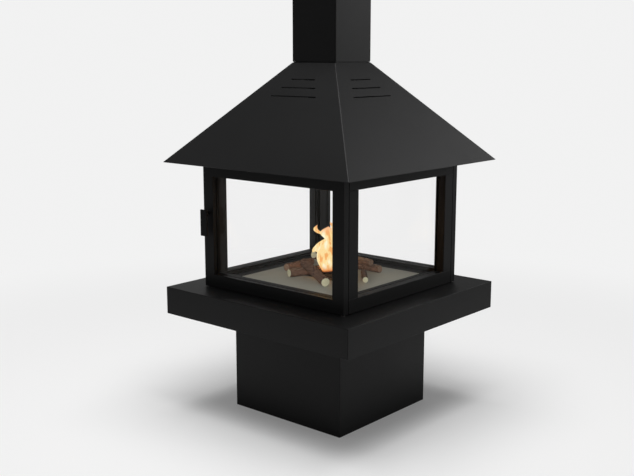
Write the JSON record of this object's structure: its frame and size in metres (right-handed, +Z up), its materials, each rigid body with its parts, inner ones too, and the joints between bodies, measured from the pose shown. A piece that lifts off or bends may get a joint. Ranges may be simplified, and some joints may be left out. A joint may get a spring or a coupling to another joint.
{
  "type": "wood burning stove",
  "caption": "Free-standing wood stove with glass on four sides, hinged doors front and rear, a square pedestal and hearth slab, a slotted pyramid hood and a square flue cover",
  "frame": {"origin": "on the floor under the centre of the pedestal", "axes": "+Z up; the hinged front door faces -Y; the fixed windows face +X and -X; the rear door faces +Y"},
  "size_m": [1.003, 1.003, 1.9751],
  "materials": {
    "black_steel": "matt black heat-resistant paint on sheet steel",
    "cast_iron": "black stove paint on fine cast iron",
    "raw_steel": "plain bright steel, hidden inside",
    "clear_glass": "clear heat-proof glass ceramic",
    "fireclay": "pale fired clay with a fine grain",
    "vermiculite": "pressed vermiculite board",
    "rope_fibre": "braided glass-fibre rope",
    "log_bark": "split firewood with bark"
  },
  "bodies": {
    "root": {"floor_plate": "black_steel", "pedestal_shell": "black_steel", "air_duct": "cast_iron", "air_throat": "cast_iron", "slab_underplate": "black_steel", "slab_core": "raw_steel", "slab_shell": "black_steel", "ash_box": "cast_iron", "ash_pan": "raw_steel", "hearth_plate": "fireclay", "grate": "cast_iron", "base_frame": "cast_iron", "post_front_right": "black_steel", "post_front_left": "black_steel", "post_rear_right": "black_steel", "post_rear_left": "black_steel", "top_frame": "cast_iron", "side_glass_right": "clear_glass", "side_glass_left": "clear_glass", "side_retainer_right": "black_steel", "side_retainer_left": "black_steel", "front_lower_pin": "raw_steel", "rear_lower_pin": "raw_steel", "front_hinge_bracket": "raw_steel", "rear_hinge_bracket": "raw_steel", "smoke_dome": "black_steel", "flue_collar": "black_steel", "flue_pipe": "black_steel", "hood": "black_steel", "hood_arm_1": "raw_steel", "hood_arm_2": "raw_steel", "hood_arm_3": "raw_steel", "hood_arm_4": "raw_steel", "cover_collar": "black_steel", "chimney_cover": "black_steel", "cover_lid": "black_steel", "log_1": "log_bark", "log_2": "log_bark", "log_3": "log_bark", "log_4": "log_bark", "log_5": "log_bark", "log_6": "log_bark", "log_7": "log_bark"},
    "air_control": {"air_slide": "raw_steel", "air_rod": "raw_steel", "air_knob": "black_steel"},
    "front_door": {"front_door_frame": "black_steel", "front_door_glass": "clear_glass", "front_glass_retainer": "black_steel", "front_door_rope": "rope_fibre"},
    "front_handle": {"front_spindle": "raw_steel", "front_cam": "raw_steel", "front_handle_blade": "black_steel"},
    "rear_door": {"rear_door_frame": "black_steel", "rear_door_glass": "clear_glass", "rear_glass_retainer": "black_steel", "rear_door_rope": "rope_fibre"},
    "rear_latch": {"rear_spindle": "raw_steel", "rear_cam": "raw_steel"},
    "baffle_plate": {"baffle": "vermiculite"}
  },
  "joints": [
    {"name": "front_door_hinge", "type": "hinge", "parent": "root", "child": "front_door", "pos_m": [0.372, -0.372, 0.8], "axis": [0, 0, 1], "range_deg": [0, 110]},
    {"name": "front_handle_turn", "type": "hinge", "parent": "front_door", "child": "front_handle", "pos_m": [-0.364, -0.382, 0.852], "axis": [0, 1, 0], "range_deg": [0, 90]},
    {"name": "rear_door_hinge", "type": "hinge", "parent": "root", "child": "rear_door", "pos_m": [0.372, 0.372, 0.8], "axis": [0, 0, -1], "range_deg": [0, 110]},
    {"name": "rear_latch_turn", "type": "hinge", "parent": "rear_door", "child": "rear_latch", "pos_m": [-0.364, 0.382, 0.852], "axis": [0, 1, 0], "range_deg": [0, 90]},
    {"name": "air_control_slide", "type": "slide", "parent": "root", "child": "air_control", "axis": [0, -1, 0], "range_m": [0, 0.085]},
    {"name": "baffle_lift", "type": "slide", "parent": "root", "child": "baffle_plate", "axis": [0, 0, 1], "range_m": [0, 0.018]}
  ]
}
